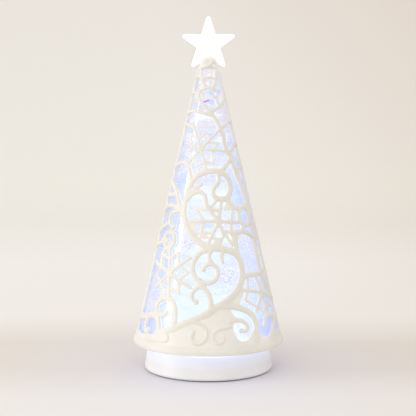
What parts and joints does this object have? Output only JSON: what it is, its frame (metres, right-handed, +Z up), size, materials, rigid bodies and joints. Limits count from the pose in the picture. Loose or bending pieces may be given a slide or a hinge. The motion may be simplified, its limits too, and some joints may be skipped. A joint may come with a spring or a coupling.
{
  "type": "water spinner tree lamp",
  "caption": "Lit cone-shaped tree lamp: an openwork shell over a clear water-filled cone stirred by a magnet-driven impeller, with a star on top and a round battery base.",
  "frame": {"origin": "centre of the base, on the surface it stands on", "axes": "+Z up the lamp's axis, front towards -Y"},
  "size_m": [0.1294, 0.1294, 0.3019],
  "materials": {
    "ivory_plastic": "satin",
    "white_plastic": "satin",
    "clear_plastic": "polished",
    "water": "clear",
    "star_plastic": "satin",
    "black_rubber": "matte",
    "steel": "plain",
    "brass": "plain",
    "black_plastic": "matte",
    "cell_wrap": "gloss",
    "board": "satin",
    "led_lens": "polished",
    "wire": "satin",
    "magnet": "plated"
  },
  "bodies": {
    "lamp": {"base_housing": "white_plastic", "battery_tray": "white_plastic", "bottom_cover": "white_plastic", "rubber_feet": "black_rubber", "cover_screws": "steel", "aa_cell_1": "cell_wrap", "aa_cell_2": "cell_wrap", "aa_cell_3": "cell_wrap", "battery_springs": "steel", "contact_plates": "brass", "switch_body": "black_plastic", "lead_wires": "wire", "motor_can": "steel", "motor_bracket": "white_plastic", "bracket_screws": "steel", "led_board": "board", "board_screws": "steel", "leds": "led_lens", "clear_cone": "clear_plastic", "cone_screws": "steel", "chamber_floor": "clear_plastic", "floor_seal": "black_rubber", "fill_plug": "black_rubber", "impeller_pin": "steel", "axle_clip": "steel", "water_fill": "water", "lattice_front": "ivory_plastic", "lattice_rear": "ivory_plastic", "star_topper": "star_plastic"},
    "rotor": {"motor_shaft": "steel", "magnet_carrier": "white_plastic", "drive_magnets": "magnet"},
    "spinner": {"impeller": "clear_plastic", "impeller_magnets": "magnet"},
    "knob": {"switch_knob": "black_plastic"},
    "door": {"battery_door": "white_plastic"}
  },
  "joints": [
    {"name": "motor_spin", "type": "hinge", "parent": "lamp", "child": "rotor", "pos_m": [0, 0, 0.038], "axis": [0, 0, 1], "continuous": true},
    {"name": "impeller_spin", "type": "hinge", "parent": "lamp", "child": "spinner", "pos_m": [0, 0, 0.048], "axis": [0, 0, 1], "continuous": true},
    {"name": "switch_slide", "type": "slide", "parent": "lamp", "child": "knob", "axis": [0, 1, 0], "range_m": [0, 0.004]},
    {"name": "door_hinge", "type": "hinge", "parent": "lamp", "child": "door", "pos_m": [0, -0.033, 0.0025], "axis": [-1, 0, 0], "range_deg": [0, 100]}
  ],
  "couplings": [
    {"joint": "impeller_spin", "follows": "motor_spin", "ratio": 1}
  ]
}
